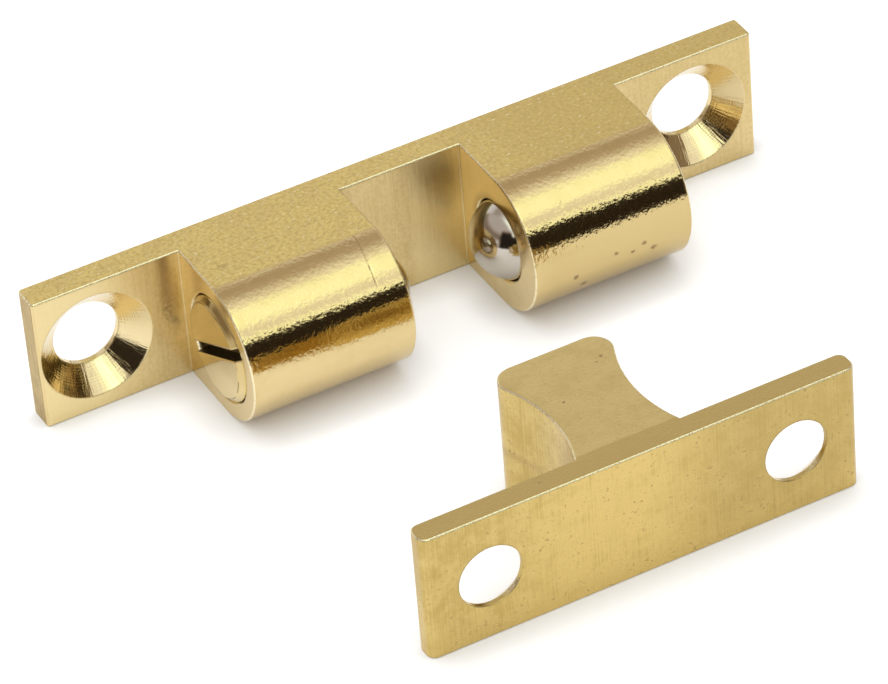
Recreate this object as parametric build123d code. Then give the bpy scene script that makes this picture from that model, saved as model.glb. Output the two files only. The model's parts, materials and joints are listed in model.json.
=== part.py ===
from build123d import *
import os
from math import radians, sqrt, tan

# Double ball catch in solid brass, as used on light cupboard doors: a housing with a sprung steel ball
# in each of its two barrels, and a T-shaped strike whose stem snaps in between the balls.
# X runs along the housing, Y points through it to its mounting face and Z is up. The origin is the
# centre of that mounting face. Both halves stand on a long narrow edge. All sizes are in millimetres.

# Housing: a bar with a flat back, flat sides and a full-round nose, milled and drilled
housing_length = 43.0
housing_width = 8.0
barrel_axis_depth = 5.45
plate_thickness = 1.65
barrel_length = 9.5
gap_width = 7.1
housing_corner_radius = 0.18
housing_hole_spacing = 36.0
housing_hole_shift = -0.2
housing_hole_diameter = 3.76
housing_sink_diameter = 6.4

# Steel balls and the bores that hold them
ball_diameter = 4.763
ball_clearance = 0.09
ball_seat_clearance = 0.02
mouth_diameter = 4.64
mouth_bevel = 0.1
lip_length = 0.34
drill_point_half_angle = 59.0

# Slotted adjusting screws and their threaded bores, modelled at the thread's crest
screw_diameter = 5.9
screw_clearance = 0.05
screw_length = 2.7
screw_proud = 0.25
screw_bevel = 0.3
slot_width = 0.65
slot_depth = 0.9
slot_angle_left = 27.0
slot_angle_right = -50.0
thread_run_out = 1.9
bore_bevel = 0.12

# Compression springs between ball and screw. Nothing shows of them, so their wire is drawn with flats.
wire_diameter = 0.4
wire_flats = 6
spring_diameter = 4.1
spring_turns = 3.5
spring_end_clearance = 0.05

# Strike: a T section sawn from drawn bar, its stem hollowed on both flanks
strike_length = 24.8
strike_height = 7.6
strike_thickness = 1.4
strike_corner_radius = 0.5
strike_hole_spacing = 17.5
strike_hole_diameter = 3.6
strike_sink_diameter = 5.8
stem_length = 8.22
stem_base_width = 6.0
stem_waist_width = 4.76
stem_waist_height = 3.17
stem_nose_radius = 1.1

# Where the strike stands: beside the gap's middle, and the space between its nose and the barrels
strike_offset = -1.2
strike_stand_off = 9.75

# Both halves: their broken edges, and the angle of every countersink
edge_break = 0.07
sink_angle = 90.0

# Places worked out from the sizes above
half_length = housing_length / 2
half_width = housing_width / 2
inner_face = gap_width / 2
nose_front = -barrel_axis_depth - half_width
ball_radius = ball_diameter / 2
ball_bore_radius = ball_radius + ball_clearance
mouth_radius = mouth_diameter / 2
screw_radius = screw_diameter / 2
thread_radius = screw_radius + screw_clearance
wire_radius = wire_diameter / 2
coil_radius = spring_diameter / 2 - wire_radius

# Distances into a barrel, measured from its inner face
ball_inset = lip_length + sqrt(ball_radius**2 - mouth_radius**2) + ball_seat_clearance
screw_end = barrel_length + screw_proud
screw_tip = screw_end - screw_length
thread_start = screw_tip - thread_run_out
spring_start = ball_inset + sqrt((ball_radius + wire_radius) ** 2 - coil_radius**2) + spring_end_clearance
spring_end = screw_tip - wire_radius - spring_end_clearance

# Sides of the gap
left, right = -1, 1

# How far a cut runs past the metal, and how close two values must be to count as the same
overrun = 1.0
tolerance = 1e-6


def barrel_plane(side, inset=0.0):
    """A plane across a barrel's axis, at a distance into the barrel, facing away from the gap."""
    origin = (side * (inner_face + inset), -barrel_axis_depth, 0)
    return Plane(origin=origin, x_dir=(0, side, 0), z_dir=(side, 0, 0))


def turned(side, profile):
    """The solid of revolution about a barrel's axis, from points of distance into it and radius."""
    outline = make_face(Polyline(*[(radius, distance) for distance, radius in profile], close=True))
    return barrel_plane(side) * revolve(Plane.XZ * outline, Axis.Z)


def bar():
    """The housing's bar before milling."""
    flat_part = Rectangle(barrel_axis_depth, housing_width, align=(Align.MAX, Align.CENTER))
    section = flat_part + Pos(-barrel_axis_depth, 0) * Circle(half_width)
    return extrude(Plane.YZ * section, half_length, both=True)


def milled_outline():
    """The housing seen from above: the plate, and the two barrels that milling leaves standing."""
    plate = Rectangle(housing_length, plate_thickness, align=(Align.CENTER, Align.MAX))
    plate = fillet(plate.vertices(), housing_corner_radius)
    barrels = [
        Pos(side * (inner_face + barrel_length / 2), 0)
        * Rectangle(barrel_length, -nose_front, align=(Align.CENTER, Align.MAX))
        for side in (left, right)
    ]
    return plate + barrels


def sharp_outer_edges(housing):
    """The long edges at top and bottom and the rims of the barrels' end faces."""
    round_edges = housing.edges().filter_by(GeomType.CIRCLE)
    rims = [e for e in round_edges if abs(e.radius - half_width) < tolerance]
    flat = [e for z in (-half_width, half_width) for e in housing.edges().filter_by_position(Axis.Z, z, z)]
    tangent_line = -barrel_axis_depth
    return rims + [e for e in flat if abs(e.center().Y - tangent_line) > tolerance]


def barrel_bore(side):
    """Mouth and lip, ball bore with the cone that the drill leaves, and the wider bore for the thread."""
    point_slope = 1 / tan(radians(drill_point_half_angle))
    seat_end = lip_length + (ball_bore_radius - mouth_radius) * point_slope
    thread_cone_end = thread_start + (thread_radius - ball_bore_radius) * point_slope
    return turned(side, [
        (-overrun, 0),
        (-overrun, mouth_radius + mouth_bevel),
        (0, mouth_radius + mouth_bevel),
        (mouth_bevel, mouth_radius),
        (lip_length, mouth_radius),
        (seat_end, ball_bore_radius),
        (thread_start, ball_bore_radius),
        (thread_cone_end, thread_radius),
        (barrel_length - bore_bevel, thread_radius),
        (barrel_length, thread_radius + bore_bevel),
        (barrel_length + overrun, thread_radius + bore_bevel),
        (barrel_length + overrun, 0),
    ])


def countersunk_holes(spacing, hole_diameter, sink_diameter, thickness, shift=0.0):
    """Two screw holes on the X axis of a plate, countersunk from the plane at height 0."""
    hole = CounterSinkHole(hole_diameter / 2, sink_diameter / 2, thickness, sink_angle)
    return [Pos(shift + side * spacing / 2, 0, 0) * hole for side in (left, right)]


def make_housing():
    """Plate and barrels milled from the bar, their edges broken, then bored and countersunk."""
    housing = bar() & extrude(milled_outline(), half_width, both=True)
    housing = chamfer(sharp_outer_edges(housing), edge_break)
    housing -= [barrel_bore(side) for side in (left, right)]
    plate_front = Plane(origin=(0, -plate_thickness, 0), x_dir=(1, 0, 0), z_dir=(0, -1, 0))
    holes = countersunk_holes(
        housing_hole_spacing, housing_hole_diameter, housing_sink_diameter, plate_thickness, housing_hole_shift
    )
    return housing - [plate_front * hole for hole in holes]


def make_ball(side):
    """A steel ball resting against the lip of its barrel, part of it standing out into the gap."""
    return barrel_plane(side, ball_inset) * Sphere(ball_radius)


def make_spring(side):
    """A right-hand compression spring between the back of the ball and the adjusting screw."""
    length = spring_end - spring_start
    path = Helix(pitch=length / spring_turns, height=length, radius=coil_radius)
    wire = Plane(origin=path @ 0, z_dir=path % 0) * RegularPolygon(wire_radius, wire_flats)
    return barrel_plane(side, spring_start) * sweep(wire, path, is_frenet=True)


def make_adjusting_screw(side, slot_angle):
    """A headless screw, bevelled at both ends, with a slot right across its outer face."""
    screw = turned(side, [
        (screw_tip, 0),
        (screw_tip, screw_radius - screw_bevel),
        (screw_tip + screw_bevel, screw_radius),
        (screw_end - screw_bevel, screw_radius),
        (screw_end, screw_radius - screw_bevel),
        (screw_end, 0),
    ])
    slot_length = screw_diameter + 2 * overrun
    cutter = Box(slot_length, slot_width, slot_depth, align=(Align.CENTER, Align.CENTER, Align.MAX))
    return screw - barrel_plane(side, screw_end) * Rot(0, 0, slot_angle) * cutter


def strike_outline():
    """The T section seen from above, its plate's stem side on the X axis and its stem along +Y."""
    plate = Rectangle(strike_length, strike_thickness, align=(Align.CENTER, Align.MAX))
    plate = fillet(plate.vertices(), strike_corner_radius)
    base = stem_base_width / 2
    waist = stem_waist_width / 2
    hollow = base - waist
    flank_radius = (stem_waist_height**2 + hollow**2) / (2 * hollow)
    flank_centre = waist + flank_radius
    tip = flank_centre - sqrt(flank_radius**2 - (stem_length - stem_waist_height) ** 2)
    stem = make_face(
        Line((-base, 0), (base, 0))
        + ThreePointArc((base, 0), (waist, stem_waist_height), (tip, stem_length))
        + Line((tip, stem_length), (-tip, stem_length))
        + ThreePointArc((-tip, stem_length), (-waist, stem_waist_height), (-base, 0))
    )
    stem = fillet(stem.vertices().group_by(Axis.Y)[-1], stem_nose_radius)
    return plate + stem


def make_strike():
    """The T section cut to length, its sawn edges broken, with two screw holes sunk from the stem side."""
    strike = extrude(strike_outline(), strike_height)
    ends = [e for z in (0, strike_height) for e in strike.edges().filter_by_position(Axis.Z, z, z)]
    strike = chamfer(ends, edge_break)
    stem_side = Plane(origin=(0, 0, strike_height / 2), x_dir=(1, 0, 0), z_dir=(0, 1, 0))
    holes = countersunk_holes(
        strike_hole_spacing, strike_hole_diameter, strike_sink_diameter, strike_thickness
    )
    strike -= [stem_side * hole for hole in holes]
    return Pos(strike_offset, nose_front - strike_stand_off - stem_length, -half_width) * strike


pieces = {
    "housing": make_housing(),
    "left_ball": make_ball(left),
    "right_ball": make_ball(right),
    "left_spring": make_spring(left),
    "right_spring": make_spring(right),
    "left_adjusting_screw": make_adjusting_screw(left, slot_angle_left),
    "right_adjusting_screw": make_adjusting_screw(right, slot_angle_right),
    "strike": make_strike(),
}

os.makedirs("parts", exist_ok=True)
for name, piece in pieces.items():
    export_step(piece, f"parts/{name}.step")
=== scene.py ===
import json
import math
from types import SimpleNamespace

import bpy
from mathutils import Matrix, Vector


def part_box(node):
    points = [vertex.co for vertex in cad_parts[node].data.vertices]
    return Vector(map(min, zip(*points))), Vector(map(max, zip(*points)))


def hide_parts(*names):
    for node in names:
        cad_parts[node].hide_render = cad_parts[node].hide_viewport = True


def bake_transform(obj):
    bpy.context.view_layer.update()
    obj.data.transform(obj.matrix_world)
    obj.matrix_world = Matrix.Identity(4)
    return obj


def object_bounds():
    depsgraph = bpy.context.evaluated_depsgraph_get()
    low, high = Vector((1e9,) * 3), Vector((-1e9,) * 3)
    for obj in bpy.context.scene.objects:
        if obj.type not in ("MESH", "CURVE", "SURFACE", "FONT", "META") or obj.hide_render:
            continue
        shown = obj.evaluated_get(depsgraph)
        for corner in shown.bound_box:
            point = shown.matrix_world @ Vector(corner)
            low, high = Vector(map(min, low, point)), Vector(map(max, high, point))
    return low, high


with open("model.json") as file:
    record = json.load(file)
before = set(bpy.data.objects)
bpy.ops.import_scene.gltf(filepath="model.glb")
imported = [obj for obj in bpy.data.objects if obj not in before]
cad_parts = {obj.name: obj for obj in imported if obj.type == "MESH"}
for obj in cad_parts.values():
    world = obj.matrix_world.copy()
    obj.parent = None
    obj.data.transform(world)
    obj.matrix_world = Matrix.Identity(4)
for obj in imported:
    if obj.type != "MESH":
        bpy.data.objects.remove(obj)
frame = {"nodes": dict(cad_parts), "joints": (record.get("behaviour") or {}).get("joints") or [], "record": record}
cad_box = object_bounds()

# The housing is sawn and milled from drawn brass bar, tumbled, then bored and countersunk. Its flat sides
# come out matt and grainy, its nose stays bright, and its milled faces keep the fine lines of the cutter.
MM = 0.001
joints = {joint["name"]: joint for joint in frame["joints"]}
mounts = {mount["name"]: mount for mount in frame["record"]["mounts"]}
BARREL_AXIS = joints["left_screw_turn"]["pos_m"][1] / MM
BARREL_INNER = 3.55
BARREL_OUTER = 13.05
LIP_RADIUS = 2.35
NOSE_RADIUS = 4.0
PLATE_FRONT = -1.65
PLATE_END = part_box("housing")[1].x / MM
HOLE_MIDDLE = mounts["housing_screw_holes"]["pos_m"][0] / MM
HOLE_OFFSET = mounts["housing_screw_holes"]["dims"]["spacing_x_mm"] / 2
SINK_RADIUS = 3.2
EDGE_ROUNDING = 0.00016

# How far a flat face points along its axis, from not yet to fully, and how far a broken edge points there
SQUARE_ON = (0.95, 0.99)
BEVEL_FACING = 0.707

# Score lines round the nose: place along the bar, slant, first and last angle from the top, and depth
SCORES = ((-4.9, -0.0051, 6, 47, 1.0), (4.18, 0.008, 8, 24, 0.4))

# Pits in the nose: place along the bar, angle from the top, and size
NOSE_PITS = (
    (10.1, 96, 0.20), (8.4, 96, 0.18), (6.0, 105, 0.24),
    (6.6, 118, 0.26), (10.7, 105, 0.24), (9.4, 101, 0.15),
)

# Dings in the top: place along the bar, place across it, and size
TOP_DINGS = ((-11.8, -4.2, 0.30), (-5.4, -6.0, 0.16))

# Where along the bar, or at which angle from the top, a zone of painted light, a zone of painted shade, or the
# duller right top starts, and where it is full
LEFT_TAB_PAINTED_LIGHT = (-14.5, -19.0)
RIGHT_TAB_PAINTED_SHADE = (12.5, 15.0)
RIGHT_NOSE_PAINTED_SHADE = (2.0, 5.0)
NOSE_FRONT_PAINTED_SHADE = (55, 75)
RIGHT_TOP_DULL = (1.0, 8.0)

# The stretch of the plate between the barrels that is painted paler as painted light, and the corner at the left
# barrel that is painted darker as painted shade
GAP_PAINTED_LIGHT = (0.8, 3.4)
SHADED_CORNER = -14.0

CLEAN_BRASS = (0.81, 0.64, 0.33, 1)
# Pale brass for painted light on the left tab, the plate between the barrels and the screws' lower faces
PAINTED_LIGHT_BRASS = (0.93, 0.77, 0.41, 1)
SINK_BRASS = (0.88, 0.74, 0.44, 1)
WORN_BRASS = (0.77, 0.60, 0.29, 1)
TUMBLED_BRASS = (0.87, 0.675, 0.25, 1)
TUMBLED_DARK = (0.63, 0.46, 0.155, 1)
DULL_BRASS = (0.79, 0.60, 0.235, 1)
SAWN_END = (0.54, 0.39, 0.13, 1)
SAWN_END_DARK = (0.40, 0.26, 0.07, 1)
# Pale brass for worn edges, also used as painted highlight and painted glints
WORN_EDGE_AND_GLINT = (0.97, 0.86, 0.58, 1)
# Dull brass, for real smudges on the milled faces and for painted shade
DULL_AND_SHADED_BRASS = (0.66, 0.50, 0.22, 1)
# Stain colour, also used for painted shade
STAIN_AND_SHADE = (0.30, 0.18, 0.075, 1)


class Field:
    """An output socket in a node tree, with arithmetic that adds nodes."""

    def __init__(self, tree, socket=None):
        self.tree = tree
        self.socket = socket

    @staticmethod
    def pick(sockets, key):
        """The enabled socket of that name, or of that number where several share a name."""
        enabled = [socket for socket in sockets if socket.enabled]
        return enabled[key] if isinstance(key, int) else next(s for s in enabled if s.name == key)

    def node(self, kind, settings=None, values=None, output=0):
        """A new node: its settings first, then its sockets' values or links. Returns one of its outputs."""
        made = self.tree.nodes.new("ShaderNode" + kind)
        for name, value in (settings or {}).items():
            setattr(made, name, value)
        for key, value in (values or {}).items():
            socket = self.pick(made.inputs, key)
            if isinstance(value, Field):
                self.tree.links.new(value.socket, socket)
            else:
                socket.default_value = value
        return Field(self.tree, self.pick(made.outputs, output))

    def math(self, operation, *others):
        return self.node("Math", {"operation": operation}, dict(enumerate((self, *others))))

    def __add__(self, other):
        return self.math("ADD", other)

    def __sub__(self, other):
        return self.math("SUBTRACT", other)

    def __mul__(self, other):
        return self.math("MULTIPLY", other)

    def __truediv__(self, other):
        return self.math("DIVIDE", other)

    def __neg__(self):
        return self.math("MULTIPLY", -1.0)

    def __abs__(self):
        return self.math("ABSOLUTE")

    def __rsub__(self, other):
        return self.node("Math", {"operation": "SUBTRACT"}, {0: other, 1: self})

    __radd__ = __add__
    __rmul__ = __mul__

    def smooth(self, low, high):
        """0 up to low, 1 from high, smooth in between. It falls instead where high is the lower one."""
        values = {"Value": self, "From Min": low, "From Max": high}
        return self.node("MapRange", {"interpolation_type": "SMOOTHSTEP"}, values)

    def near(self, place, width):
        """1 at a place, falling smoothly to 0 at a width to either side."""
        return abs(self - place).smooth(width, 0.0)

    def between(self, low, high, soft):
        """1 from low to high, falling smoothly outside."""
        return self.smooth(low - soft, low) * self.smooth(high + soft, high)

    def length(self, other):
        """The length of the hypotenuse over two fields."""
        return (self * self + other * other).math("SQRT")

    def mix(self, first, second):
        """A value between two, this field being the share of the second."""
        return (1 - self) * first + self * second

    def blend(self, first, second):
        """A colour between two, this field being the share of the second."""
        return self.node("Mix", {"data_type": "RGBA"}, {"Factor": self, "A": first, "B": second})

    def times(self, factors):
        """A vector stretched along each axis."""
        return self.node("VectorMath", {"operation": "MULTIPLY"}, {0: self, 1: factors})

    def noise(self, scale, detail=2.0, roughness=0.5):
        """Noise about 0 on this vector, mostly within a quarter to either side."""
        values = {"Scale": scale, "Detail": detail, "Roughness": roughness, "Vector": self}
        return self.node("TexNoise", {}, values) - 0.5

    def shade(self, shader, output):
        """Links a shader to the tree's output node."""
        self.tree.links.new(shader.socket, self.tree.nodes.new("ShaderNode" + output).inputs["Surface"])


def surface_of(root):
    """A point's place in millimetres and its outward direction, each also by axis."""
    place = root.node("TexCoord", output="Object").times((1 / MM, 1 / MM, 1 / MM))
    facing = root.node("TexCoord", output="Normal")
    x, y, z = (root.node("SeparateXYZ", values={0: place}, output=i) for i in range(3))
    side, front, top = (root.node("SeparateXYZ", values={0: facing}, output=i) for i in range(3))
    return SimpleNamespace(place=place, x=x, y=y, z=z, side=side, front=front, top=top)


def metal(name, finish):
    """A metal whose colour, roughness and height in millimetres come from a function of the surface."""
    material = bpy.data.materials.new(name)
    material.use_nodes = True
    material.node_tree.nodes.clear()
    root = Field(material.node_tree)
    colour, roughness, height = finish(surface_of(root))
    worn_edges = root.node("Bevel", {"samples": 6}, {"Radius": EDGE_ROUNDING})
    values = {"Strength": 1.0, "Distance": MM, "Height": height, "Normal": worn_edges}
    bump = root.node("Bump", values=values, output="Normal")
    values = {"Base Color": colour, "Metallic": 1.0, "Roughness": roughness, "Normal": bump}
    root.shade(root.node("BsdfPrincipled", values=values), "OutputMaterial")
    return material


def round_mark(across, along, size):
    """1 in the middle of a small round mark, 0 from its rim."""
    return across.length(along).smooth(size, size * 0.3)


def housing_finish(at):
    """Colour, roughness and height of the housing."""
    # Its zones
    from_hole = (abs(at.x - HOLE_MIDDLE) - HOLE_OFFSET).length(at.z)
    from_axis = (at.y - BARREL_AXIS).length(at.z)
    around = (BARREL_AXIS - at.y).math("ARCTAN2", at.z) * (180 / math.pi)
    ends = abs(at.side).smooth(*SQUARE_ON)
    nose = (BARREL_AXIS - at.y).smooth(0.0, 0.25) * (1 - ends)
    plate_ends = ends * abs(at.x).smooth(PLATE_END - 1.0, PLATE_END - 0.5)
    tumbled = abs(at.top).smooth(*SQUARE_ON) * (1 - nose) + plate_ends
    milled = (-at.front).smooth(*SQUARE_ON) * (at.y - PLATE_FRONT).smooth(-0.1, -0.02)
    sunk = from_hole.smooth(SINK_RADIUS + 0.02, SINK_RADIUS - 0.02) * (1 - milled) * (1 - tumbled)
    barrel_rims = abs(at.side).between(0.35, 0.9, 0.1)
    barrel_rims = barrel_rims * abs(at.x).smooth(BARREL_OUTER + 0.25, BARREL_OUTER + 0.05)
    long_rims = abs(at.top).near(BEVEL_FACING, 0.3) * (1 - nose)
    edges = (barrel_rims + long_rims).math("MINIMUM", 1.0) * (1 - sunk)

    # Tumbled grain, cutter lines, spots of painted glint, and the turned rings and chatter of the countersinks
    grain = at.place.noise(9.0, 3.0, 0.65)
    waves = at.place.noise(1.6, 2.0)
    ripple = at.place.times((5.0, 4.0, 4.0)).noise(1.0, 2.0, 0.5)
    lines = at.place.times((6.0, 0.0, 0.25)).noise(1.0, 3.0, 0.6)
    fine_lines = at.place.times((25.0, 0.0, 0.4)).noise(1.0, 2.0, 0.6)
    wander = at.place.noise(5.0, 2.0)
    painted_glints = at.place.times((3.5, 7.0, 3.5)).noise(1.0, 2.0, 0.5).smooth(0.13, 0.19)
    rings = at.place.node("CombineXYZ", values={0: from_hole * 11.0}).noise(1.0, 2.0, 0.5)
    turn = at.z.math("ARCTAN2", abs(at.x - HOLE_MIDDLE) - HOLE_OFFSET)
    chatter = at.place.node("CombineXYZ", values={0: turn * 14.0, 1: from_hole * 0.8}).noise(1.0, 2.0, 0.6)

    # Scores, dings and pits
    marks = [
        (at.x - (x + (around - low) * slant)).near(0.0, 0.11) * around.between(low, high, 4.0) * depth
        for x, slant, low, high, depth in SCORES
    ]
    marks += [
        round_mark((at.x - x) * 0.6, at.y - y + wander * 0.5, size) * at.top.smooth(0.9, 0.99)
        for x, y, size in TOP_DINGS
    ]
    pits = [
        round_mark(at.x - x + wander * 0.3, (around - angle) * (NOSE_RADIUS * math.pi / 180), size) * nose
        for x, angle, size in NOSE_PITS
    ]
    marked = sum(marks[1:], marks[0])
    pitted = sum(pits[1:], pits[0])

    height = tumbled * (grain * 0.022 + waves * 0.012)
    height = height + nose * ripple * 0.017
    height = height + milled * (lines * 0.007 + fine_lines * 0.004)
    height = height + ends * (at.place.noise(2.5, 2.0) * 0.003)
    height = height + sunk * (rings * 0.010 + chatter * 0.016)
    height = height + edges * at.place.noise(4.0, 2.0) * 0.02
    height = height - marked * 0.008 - pitted * 0.02

    roughness = 0.16 + tumbled * 0.15 + milled * 0.16 - nose * 0.05 - sunk * 0.04
    roughness = roughness + at.place.noise(3.0, 3.0) * 0.08

    # Colour of the nose, the milled faces and the countersinks
    mottle = at.place.noise(0.9, 4.0, 0.6).smooth(-0.15, 0.25)
    clean = mottle.blend(CLEAN_BRASS, WORN_BRASS)
    smudges = (lines * 0.7 + wander * 0.7).smooth(-0.15, 0.20)
    # Painted shade: the right tab is painted duller, standing in for a dimmer reflection there. The smudges are
    # real dull patches.
    right_tab_shade = at.x.smooth(*RIGHT_TAB_PAINTED_SHADE) * at.z.smooth(-1.0, 2.0)
    dull_and_shade = (smudges * 0.6 + right_tab_shade * 0.6).math("MINIMUM", 1.0)
    clean = (milled * dull_and_shade).blend(clean, DULL_AND_SHADED_BRASS)
    # Painted light: the left tab is painted paler, standing in for a brighter reflection there
    clean = (milled * at.x.smooth(*LEFT_TAB_PAINTED_LIGHT) * 0.8).blend(clean, PAINTED_LIGHT_BRASS)
    # Painted light: the plate between the barrels is painted paler where a dark reflection falls
    clean = (milled * at.x.between(*GAP_PAINTED_LIGHT, 0.8) * 0.6).blend(clean, PAINTED_LIGHT_BRASS)
    clean = (sunk * 0.6).blend(clean, SINK_BRASS)
    # Painted shade: the lower front of the right nose is painted duller, standing in for a darker reflection
    right_nose_shade = at.x.smooth(*RIGHT_NOSE_PAINTED_SHADE) * around.smooth(*NOSE_FRONT_PAINTED_SHADE)
    clean = (nose * right_nose_shade * 0.8).blend(clean, DULL_AND_SHADED_BRASS)

    # Colour of the tumbled sides and the sawn ends with their painted glints, with the worn edges and their
    # painted highlight, and with the stains and the painted shade over all
    speckle = at.place.noise(4.5, 4.0, 0.7).smooth(-0.20, 0.10)
    grainy = speckle.blend(TUMBLED_DARK, mottle.blend(TUMBLED_BRASS, DULL_BRASS))
    grainy = (at.x.smooth(*RIGHT_TOP_DULL) * 0.45).blend(grainy, TUMBLED_DARK)
    # Painted highlight: scattered glints painted pale on the tumbled sides
    colour = tumbled.blend(clean, (painted_glints * 0.7).blend(grainy, WORN_EDGE_AND_GLINT))
    end_streaks = at.place.times((6.0, 6.0, 0.8)).noise(1.0, 2.0, 0.5)
    end_streaks = (end_streaks + grain * 0.6).smooth(-0.2, 0.15)
    colour = plate_ends.blend(colour, end_streaks.blend(SAWN_END_DARK, SAWN_END))
    # The edges are painted pale in patches, partly real wear and partly painted highlight
    colour = (edges * wander.smooth(-0.30, 0.0)).blend(colour, WORN_EDGE_AND_GLINT)
    # Painted reflection: a dark ring round each ball's mouth on the upper half of the gap faces, for the ball
    # mirrored there
    gap_faces = ends * abs(at.x).smooth(BARREL_INNER + 0.65, BARREL_INNER + 0.25)
    mouth_shade = from_axis.near(LIP_RADIUS, 0.6) * at.z.smooth(-0.3, 0.8) * gap_faces
    # Painted shade: the milled corner at the left barrel is darkened, most towards its top
    corner_shade = at.x.near(SHADED_CORNER, 0.6) * (at.z + wander * 3.0).smooth(-0.5, 1.5) * milled
    # Scores and pits are real stains. The mouth ring and the corner are painted shade.
    colour = (marked * 0.25 + pitted * 0.85 + mouth_shade * 0.5 + corner_shade * 0.6).blend(colour, STAIN_AND_SHADE)
    return colour, roughness, height


frame["nodes"]["housing"].data.materials[0] = metal("tumbled brass", housing_finish)

# The strike is sawn from a drawn brass T section. Its plate and flanks keep the drawing lines, which run
# upwards here, and its two sawn ends are tumbled matt.
STRIKE_BACK = mounts["strike_back"]["pos_m"][1] / MM
STRIKE_THICKNESS = 1.4
STRIKE_PLATE_STEM_SIDE = STRIKE_BACK + STRIKE_THICKNESS

# The stretch of painted light on its back, over a shaded reflection: its middle, and how far from there it ends
# and is full
LIT_BACK_MIDDLE = -3.0
LIT_BACK_REACH = (9.0, 1.0)

# Where its right end turns dull, and where its drawn faces take painted light towards the table
RIGHT_END_DULL = (-1.0, 5.0)
LOW_PAINTED_LIGHT = (-1.5, -3.8)

# A dim brownish band on the stem's left flank: where it starts and ends along the stem, and its height
FLANK_BAND = (-22.8, -19.6)
FLANK_BAND_HEIGHT = -0.6

# Pits in the upper sawn end: place along the plate, place along the stem, and size
STRIKE_PITS = ((-2.4, -23.2, 0.11), (1.0, -21.0, 0.12), (0.6, -21.3, 0.08), (-6.5, -28.0, 0.08))

DRAWN_BRASS = (0.54, 0.385, 0.12, 1)
DRAWN_PALE = (0.69, 0.52, 0.195, 1)
PAINTED_LIGHT_DRAWN = (0.76, 0.565, 0.205, 1)
DULL_END = (0.50, 0.36, 0.13, 1)
SAWN_BRASS = (0.73, 0.565, 0.24, 1)
SAWN_DARK = (0.60, 0.44, 0.165, 1)


def strike_finish(at):
    """Colour, roughness and height of the strike."""
    sawn = abs(at.top).smooth(*SQUARE_ON)
    plate = at.y.smooth(STRIKE_PLATE_STEM_SIDE + 0.2, STRIKE_PLATE_STEM_SIDE)
    rims = abs(at.top).near(BEVEL_FACING, 0.3)
    grain = at.place.noise(9.0, 3.0, 0.65)
    lines = at.place.times((11.0, 11.0, 0.12)).noise(1.0, 3.0, 0.65)
    patches = at.place.noise(0.8, 4.0, 0.65)
    pits = [round_mark(at.x - x, at.y - y, size) for x, y, size in STRIKE_PITS]
    pitted = pits[0]
    for pit in pits[1:]:
        pitted = pitted.math("MAXIMUM", pit)
    pitted = pitted * at.top.smooth(0.9, 0.99)

    height = sawn * (grain * 0.010 + patches * 0.01) + (1 - sawn) * (lines * 0.004 + grain * 0.005)
    height = height + rims * at.place.noise(5.0, 2.0) * 0.025 - pitted * 0.03
    roughness = 0.27 + patches * 0.12

    # Colour of the drawn faces, with painted light on the back's middle and towards the table
    uneven = (lines * 0.8 + patches).smooth(-0.45, 0.05)
    on_back = at.y.smooth(STRIKE_BACK + 0.2, STRIKE_BACK)
    # Painted light: the middle of the back is painted paler, standing in for a brighter reflection
    painted_light = abs(at.x - LIT_BACK_MIDDLE).smooth(*LIT_BACK_REACH) * on_back * uneven
    specks = at.place.noise(4.5, 3.0, 0.6).smooth(0.11, 0.18) * patches.smooth(-0.10, 0.10)
    on_left_flank = (1 - at.side).smooth(1.5, 1.9)
    flank_band = at.y.between(*FLANK_BAND, 0.3) * at.z.near(FLANK_BAND_HEIGHT, 0.5) * on_left_flank
    drawn = (lines * 0.6 + patches).smooth(-0.20, 0.20).blend(DRAWN_BRASS, DRAWN_PALE)
    drawn = (at.x.smooth(*RIGHT_END_DULL) * 0.5).blend(painted_light.blend(drawn, PAINTED_LIGHT_DRAWN), DULL_END)
    # Painted light: the drawn faces are painted paler towards the table
    drawn = (at.z.smooth(*LOW_PAINTED_LIGHT) * uneven * 0.7).blend(drawn, PAINTED_LIGHT_DRAWN)
    drawn = (specks * 0.6 + flank_band * 0.3).blend(drawn, STAIN_AND_SHADE)

    # Colour of the sawn ends, with the worn edges and their painted highlight, and the pits over all
    tarnish = (patches * 0.7 + plate * 0.40).smooth(-0.10, 0.35)
    matt = tarnish.blend(SAWN_BRASS, SAWN_DARK)
    matt = grain.smooth(-0.05, -0.25).blend(matt, SAWN_DARK)
    colour = sawn.blend(drawn, matt)
    # The rims are painted pale in patches, partly real wear and partly painted highlight
    colour = (rims * at.place.noise(4.0, 2.0).smooth(-0.35, -0.05)).blend(colour, WORN_EDGE_AND_GLINT)
    colour = (pitted * 0.75).blend(colour, STAIN_AND_SHADE)
    return colour, roughness, height


frame["nodes"]["strike"].data.materials[0] = metal("drawn brass", strike_finish)

# Each ball is hardened steel, ground and polished bright, and the rolled-in lip of its barrel holds it.
# Its lower half is coloured darker and browner.
STEEL = (0.64, 0.59, 0.52, 1)
STEEL_GREY = (0.58, 0.53, 0.46, 1)
BROWN_LOW_STEEL = (0.46, 0.41, 0.34, 1)
DARKER_BELOW_STARTS = (0.6, -0.6)


def ball_finish(at):
    """Colour, roughness and height of a ball."""
    colour = at.place.noise(0.8, 2.0).smooth(-0.2, 0.2).blend(STEEL, STEEL_GREY)
    colour = (at.z.smooth(*DARKER_BELOW_STARTS) * 0.6).blend(colour, BROWN_LOW_STEEL)
    return colour, 0.10 + at.place.noise(4.0, 2.0) * 0.06, at.place.noise(3.0, 1.0) * 0.0006


for name in ("left_ball", "right_ball"):
    frame["nodes"][name].data.materials[0] = metal("polished steel", ball_finish)

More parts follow.
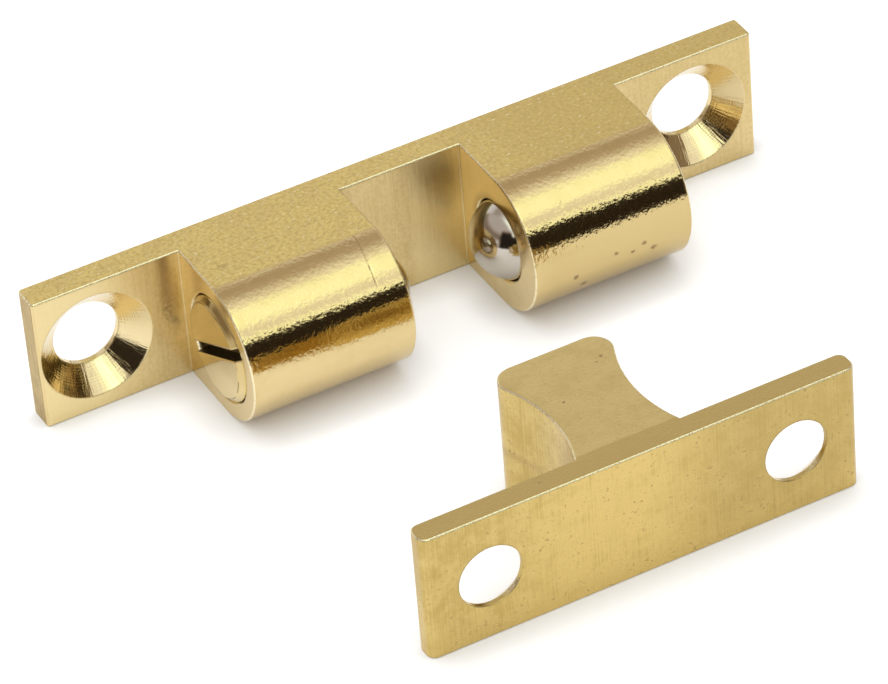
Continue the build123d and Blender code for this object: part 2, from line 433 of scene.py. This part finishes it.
# Each adjusting screw is turned from brass bar, faced off and slotted with a saw. Its slot and the crease between
# its face and its bevel are darkened as painted shade, and its face is painted darker above and paler below as
# painted reflection.
SLOT_DEPTH = 0.9
SCREW_OUTER = abs(joints["left_screw_turn"]["pos_m"][0]) / MM
SCREW_RADIUS = 2.95
RIM_RADIUS = 2.66
SHADED_TOP_STARTS = (-1.6, 1.4)
LIT_LOW_STARTS = (0.5, -1.5)
SHADED_SCREW_BRASS = (0.66, 0.50, 0.22, 1)
SLOT_SHADE = (0.10, 0.065, 0.03, 1)


def screw_finish(at):
    """Colour, roughness and height of an adjusting screw."""
    from_axis = (at.y - BARREL_AXIS).length(at.z)
    rings = at.place.node("CombineXYZ", values={0: from_axis * 9.0}).noise(1.0, 2.0, 0.5)
    depth = SCREW_OUTER - abs(at.x)
    inside = from_axis.smooth(SCREW_RADIUS, SCREW_RADIUS - 0.05)
    slot = depth.between(0.06, SLOT_DEPTH + 0.1, 0.05) * abs(at.side).smooth(0.5, 0.2) * inside
    slot = slot.math("MAXIMUM", depth.near(SLOT_DEPTH, 0.05))
    rim = from_axis.near(RIM_RADIUS, 0.05) * depth.smooth(0.12, 0.0)
    rim = rim * at.place.noise(0.9, 2.0).smooth(-0.12, 0.05)
    height = rings * 0.003 + at.place.noise(2.0, 2.0) * 0.004 - rim * 0.02
    colour = at.place.noise(1.0, 3.0).smooth(-0.2, 0.2).blend(CLEAN_BRASS, WORN_BRASS)
    # Painted reflection: the face is painted paler below and darker above
    colour = (0.6 * at.z.smooth(*LIT_LOW_STARTS)).blend(colour, PAINTED_LIGHT_BRASS)
    colour = at.z.smooth(*SHADED_TOP_STARTS).blend(colour, SHADED_SCREW_BRASS)
    # Painted shade in the slot and along the crease round the face
    colour = (slot * 0.9 + rim * 0.7).blend(colour, SLOT_SHADE)
    return colour, 0.14 + slot * 0.3 + at.place.noise(3.0, 2.0) * 0.06, height


for name in ("left_adjusting_screw", "right_adjusting_screw"):
    frame["nodes"][name].data.materials[0] = metal("turned brass", screw_finish)

# Each compression spring is coiled from bright steel wire and sits between ball and screw. It is made in two
# lengths, one at the ball's end and one at the screw's end, which meet part way along. Lengths are measured from
# its first turn, away from the ball.
SPRING_START = 2.749
SPRING_LENGTH = 4.051
SPRING_TURNS = 3.5
SPRING_MEETING = 2.6
COIL_RADIUS = 1.85
WIRE_RADIUS = 0.2
TURN_POINTS = 32
WIRE_POINTS = 12
BRIGHT_WIRE = (0.60, 0.60, 0.60, 1)
GREY_WIRE = (0.52, 0.52, 0.53, 1)


def wire_finish(at):
    """Colour, roughness and height of spring wire."""
    colour = at.place.noise(1.0, 2.0).smooth(-0.2, 0.2).blend(BRIGHT_WIRE, GREY_WIRE)
    return colour, 0.25 + at.place.noise(3.0, 2.0) * 0.1, at.place.noise(8.0, 1.0) * 0.001


def coil_tree(material):
    """A length of coiled wire along Z, from its turns, its length and the two radii."""
    tree = bpy.data.node_groups.new("coiled wire", "GeometryNodeTree")
    for name in ("Turns", "Length", "Coil Radius", "Wire Radius"):
        tree.interface.new_socket(name, in_out="INPUT", socket_type="NodeSocketFloat")
    tree.interface.new_socket("Geometry", in_out="OUTPUT", socket_type="NodeSocketGeometry")
    sizes = tree.nodes.new("NodeGroupInput").outputs
    coil = tree.nodes.new("GeometryNodeCurveSpiral")
    coil.inputs["Resolution"].default_value = TURN_POINTS
    section = tree.nodes.new("GeometryNodeCurvePrimitiveCircle")
    section.inputs["Resolution"].default_value = WIRE_POINTS
    wire = tree.nodes.new("GeometryNodeCurveToMesh")
    wire.inputs["Fill Caps"].default_value = True
    whole = tree.nodes.new("GeometryNodeRealizeInstances")
    finished = tree.nodes.new("GeometryNodeSetMaterial")
    finished.inputs["Material"].default_value = material
    for source, target in (
        (sizes["Turns"], coil.inputs["Rotations"]),
        (sizes["Length"], coil.inputs["Height"]),
        (sizes["Coil Radius"], coil.inputs["Start Radius"]),
        (sizes["Coil Radius"], coil.inputs["End Radius"]),
        (sizes["Wire Radius"], section.inputs["Radius"]),
        (coil.outputs["Curve"], wire.inputs["Curve"]),
        (section.outputs["Curve"], wire.inputs["Profile Curve"]),
        (wire.outputs["Mesh"], whole.inputs["Geometry"]),
        (whole.outputs["Geometry"], finished.inputs["Geometry"]),
        (finished.outputs["Geometry"], tree.nodes.new("NodeGroupOutput").inputs["Geometry"]),
    ):
        tree.links.new(source, target)
    return tree


def coiled_wire(tree, turns, length):
    """The plain mesh that the tree makes of these turns and this length."""
    maker = bpy.data.objects.new("coil maker", bpy.data.meshes.new("coil maker"))
    bpy.context.scene.collection.objects.link(maker)
    modifier = maker.modifiers.new("coil", "NODES")
    modifier.node_group = tree
    sizes = {
        "Turns": turns,
        "Length": length,
        "Coil Radius": COIL_RADIUS * MM,
        "Wire Radius": WIRE_RADIUS * MM,
    }
    for socket in tree.interface.items_tree:
        if socket.in_out == "INPUT":
            modifier[socket.identifier] = sizes[socket.name]
    evaluated = maker.evaluated_get(bpy.context.evaluated_depsgraph_get())
    mesh = bpy.data.meshes.new_from_object(evaluated)
    bpy.data.objects.remove(maker)
    return mesh


def on_barrel_axis(side, inset):
    """The point on a barrel's axis at a distance from the spring's first turn, away from the ball."""
    return Vector((side * (BARREL_INNER + SPRING_START + inset) * MM, BARREL_AXIS * MM, 0))


wire_tree = coil_tree(metal("spring wire", wire_finish))
for side, name in ((-1, "left"), (1, "right")):
    along = Matrix(((0, 0, side), (side, 0, 0), (0, 1, 0))).to_4x4()
    for label, moving_end, body in (("ball_end", 0.0, "_ball"), ("screw_end", SPRING_LENGTH, "_spring")):
        first, last = sorted((moving_end, SPRING_MEETING))
        mesh = coiled_wire(wire_tree, SPRING_TURNS * (last - first) / SPRING_LENGTH, (last - first) * MM)
        turns_before = SPRING_TURNS * first / SPRING_LENGTH
        turned = along @ Matrix.Rotation(turns_before * 2 * math.pi, 4, "Z")
        mesh.transform(Matrix.Translation(on_barrel_axis(side, first)) @ turned)
        spring = bpy.data.objects.new(f"{name}_spring_{label}", mesh)
        bpy.context.scene.collection.objects.link(spring)
        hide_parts(name + "_spring")
        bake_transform(spring)

# Both halves stand on a white table top, which is also the white background, and it keeps their shadow. What
# the camera and the metal see of it glows, except close to the halves, where it stays dull.
FLOOR_HALF = 0.6
FLOOR_CLEARANCE = 0.00001
GLOW_DISTANCE = 0.0025
GLOW = 0.36
GLOW_SEEN = 0.16
TABLE_WHITE = (0.90, 0.90, 0.90, 1)
low = cad_box[0].z - FLOOR_CLEARANCE
corners = [(x * FLOOR_HALF, y * FLOOR_HALF, low) for x, y in ((-1, -1), (1, -1), (1, 1), (-1, 1))]
floor_mesh = bpy.data.meshes.new("table_top")
floor_mesh.from_pydata(corners, [], [(0, 1, 2, 3)])
floor = bpy.data.objects.new("table_top", floor_mesh)
bpy.context.scene.collection.objects.link(floor)
paper = bpy.data.materials.new("table white")
paper.use_nodes = True
paper.node_tree.nodes.clear()
sheet = Field(paper.node_tree)
camera_sees = sheet.node("LightPath", output="Is Camera Ray")
glowing = camera_sees
for ray in ("Is Glossy Ray", "Is Transmission Ray"):
    glowing = glowing.math("MAXIMUM", sheet.node("LightPath", output=ray))
matt = sheet.node("BsdfDiffuse", values={"Color": TABLE_WHITE})
open_sky = sheet.node("AmbientOcclusion", {"samples": 8}, {"Distance": GLOW_DISTANCE}, output="AO")
glow = open_sky * (GLOW + open_sky * camera_sees * GLOW_SEEN)
lift = sheet.node("Emission", values={"Color": glow, "Strength": 1.0})
lifted = sheet.node("AddShader", values={0: matt, 1: lift})
sheet.shade(sheet.node("MixShader", values={0: glowing, 1: matt, 2: lifted}), "OutputMaterial")
floor_mesh.materials.append(paper)

# The metal mirrors a light tent: a bright roof with a hot patch, and in front, below the roof's edge, a dark
# opening that the camera looks through. The left wall is pale with a dim band and a dark back, and the right
# wall is dim with a pale back. All else gets plain pale light from the left above.
WARM = (1.0, 0.72, 0.50, 1)
SUN = (0.91, 1.0, 0.84, 1)
WHITE = (1.0, 1.0, 1.0, 1)
DARK = 0.022

# The middle of the tent: angles from straight up, towards the front where positive, and the level at each
MIDDLE = (
    (-90, 0.90), (-60, 0.90), (-49, 0.85), (-34, 0.46), (-19, 0.52), (-8, 0.78), (2, 1.08), (8, 1.38),
    (31, 1.40), (38, 0.98), (47, 0.90), (51, 1.35), (56, 1.35), (57.5, DARK), (90, DARK),
)

# Levels of the hot patch and the two sides, and where the sides begin
HOT_PATCH = 1.1
LEFT_WALL = 0.75
LEFT_BAND = 0.28
LEFT_ROOF = 0.62
LEFT_BACK = 0.08
RIGHT_WALL = 0.24
RIGHT_BACK = 0.75
LEFT_STARTS = (-0.36, -0.46)
RIGHT_STARTS = (0.50, 0.58)

# The plain light: its level all round, how much it rises, and the way towards the brightest point
PLAIN_LEVEL = 0.66
PLAIN_RISE = 0.40
LIGHT_WAY = (-0.45, 0.15, 0.88)


def by_angle(angle, stops):
    """Levels at angles from -90 to 90 degrees, with straight runs in between."""
    top = max(level for _, level in stops)
    ramp = angle.tree.nodes.new("ShaderNodeValToRGB")
    for _ in stops[2:]:
        ramp.color_ramp.elements.new(0.5)
    for element, (place, level) in zip(ramp.color_ramp.elements, stops):
        element.position = (place + 90) / 180
        element.color = (level / top, level / top, level / top, 1)
    angle.tree.links.new((angle / 180 + 0.5).socket, ramp.inputs[0])
    return Field(angle.tree, ramp.outputs[0]) * top


world = bpy.data.worlds.new("light tent")
bpy.context.scene.world = world
world.use_nodes = True
world.node_tree.nodes.clear()
sky = Field(world.node_tree)
direction = sky.node("TexCoord", output="Generated")
dx, dy, dz = (sky.node("SeparateXYZ", values={0: direction}, output=i) for i in range(3))
tilt = (-dy).math("ARCTAN2", dz) * (180 / math.pi)
bearing = dx.math("ARCTAN2", -dy) * (180 / math.pi)
hot = dx.near(-0.05, 0.36) * tilt.between(15, 55, 2.5)
level = by_angle(tilt, MIDDLE) + hot * HOT_PATCH
left_level = dz.smooth(0.22, 0.40).mix(LEFT_WALL, LEFT_BAND)
left_level = dz.smooth(0.45, 0.65).mix(left_level, LEFT_ROOF)
left_level = (bearing.smooth(-70, -60) * dz.smooth(0.75, 0.60)).mix(left_level, DARK)
back_left = dy.smooth(0.0, 0.15) * dz.between(0.05, 0.30, 0.08) * dx.smooth(-0.64, -0.74)
left_level = back_left.mix(left_level, LEFT_BACK)
level = dx.smooth(*LEFT_STARTS).mix(level, left_level)
right_level = (dy.smooth(-0.05, 0.10) * dz.smooth(0.02, 0.12)).mix(RIGHT_WALL, RIGHT_BACK)
level = dx.smooth(*RIGHT_STARTS).mix(level, right_level)
tent_colour = level.smooth(0.95, 1.3).blend(level.smooth(DARK, 0.95).blend(WARM, WHITE), SUN)
tent_colour = sky.node("VectorMath", {"operation": "SCALE"}, {0: tent_colour, "Scale": level})
tent = sky.node("Background", values={"Color": tent_colour, "Strength": 1.0})
towards_light = sky.node("VectorMath", {"operation": "DOT_PRODUCT"}, {0: direction, 1: LIGHT_WAY}, "Value")
plain_level = PLAIN_LEVEL + towards_light.math("MAXIMUM", 0.0).math("POWER", 2.0) * PLAIN_RISE
plain = sky.node("Background", values={"Color": plain_level, "Strength": 1.0})
white = sky.node("Background", values={"Color": WHITE, "Strength": 1.0})
glossy_ray = sky.node("LightPath", output="Is Glossy Ray")
camera_ray = sky.node("LightPath", output="Is Camera Ray")
mirrored = sky.node("MixShader", values={0: glossy_ray, 1: plain, 2: tent})
sky.shade(sky.node("MixShader", values={0: camera_ray, 1: mirrored, 2: white}), "OutputWorld")

# The camera stands to the left, in front and above, with a long lens that keeps the two halves nearly free
# of perspective.
CAMERA_PLACE = (-0.104533, -0.221991, 0.181802)
CAMERA_RIGHT = (0.87424, -0.48063, -0.06849)
CAMERA_AHEAD = (0.3428, 0.71102, -0.61395)
LENS = 233.19
SENSOR = 36.0
camera_data = bpy.data.cameras.new("camera")
camera_data.lens = LENS
camera_data.sensor_width = SENSOR
camera_data.clip_start = 0.01
camera_data.clip_end = 10.0
camera = bpy.data.objects.new("camera", camera_data)
bpy.context.scene.collection.objects.link(camera)
ahead = Vector(CAMERA_AHEAD).normalized()
right = Vector(CAMERA_RIGHT)
right = (right - right.dot(ahead) * ahead).normalized()
looking = Matrix((right, right.cross(ahead), -ahead)).transposed()
camera.matrix_world = Matrix.Translation(CAMERA_PLACE) @ looking.to_4x4()
bpy.context.scene.camera = camera
bpy.context.scene.view_settings.view_transform = "Standard"
